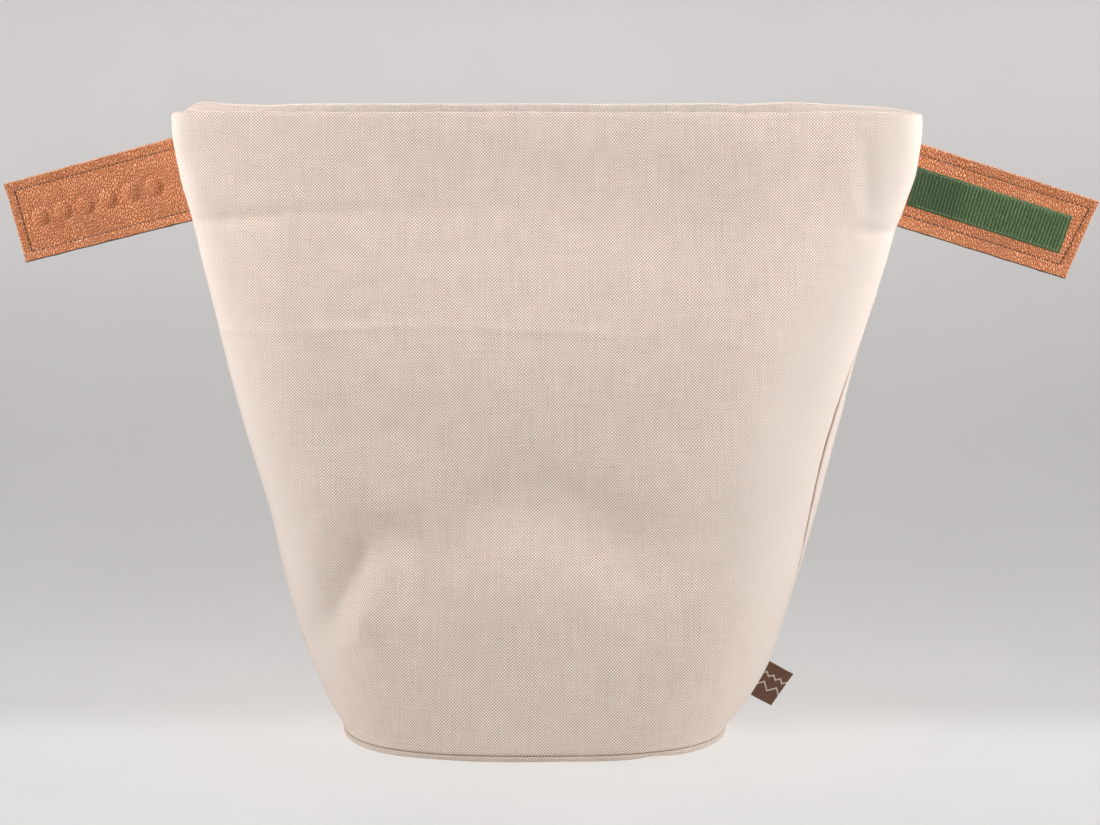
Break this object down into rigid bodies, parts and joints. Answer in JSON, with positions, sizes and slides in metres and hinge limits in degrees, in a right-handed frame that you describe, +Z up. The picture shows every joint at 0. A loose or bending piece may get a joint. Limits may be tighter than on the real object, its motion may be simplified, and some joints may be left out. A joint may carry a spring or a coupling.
{
  "type": "bread bag",
  "caption": "Soft open-topped linen bread bag standing on an oval base, with leather closing straps and a small woven label caught in its side seams.",
  "frame": {"origin": "on the floor under the middle of the bag with its straps", "axes": "+X towards the strap with the hook tape, +Y towards the back, +Z up"},
  "size_m": [0.5565, 0.165, 0.3161],
  "materials": {
    "linen": "matte coarse weave of pale and tan threads",
    "tan_leather": "pebbled, soft sheen",
    "green_tape": "ribbed hook tape",
    "brown_weave": "matte woven tape"
  },
  "bodies": {
    "root": {"front_panel": "linen", "back_panel": "linen", "base_panel": "linen", "strap_left": "tan_leather", "strap_right": "tan_leather", "hook_tape": "green_tape", "woven_label": "brown_weave"}
  },
  "joints": []
}
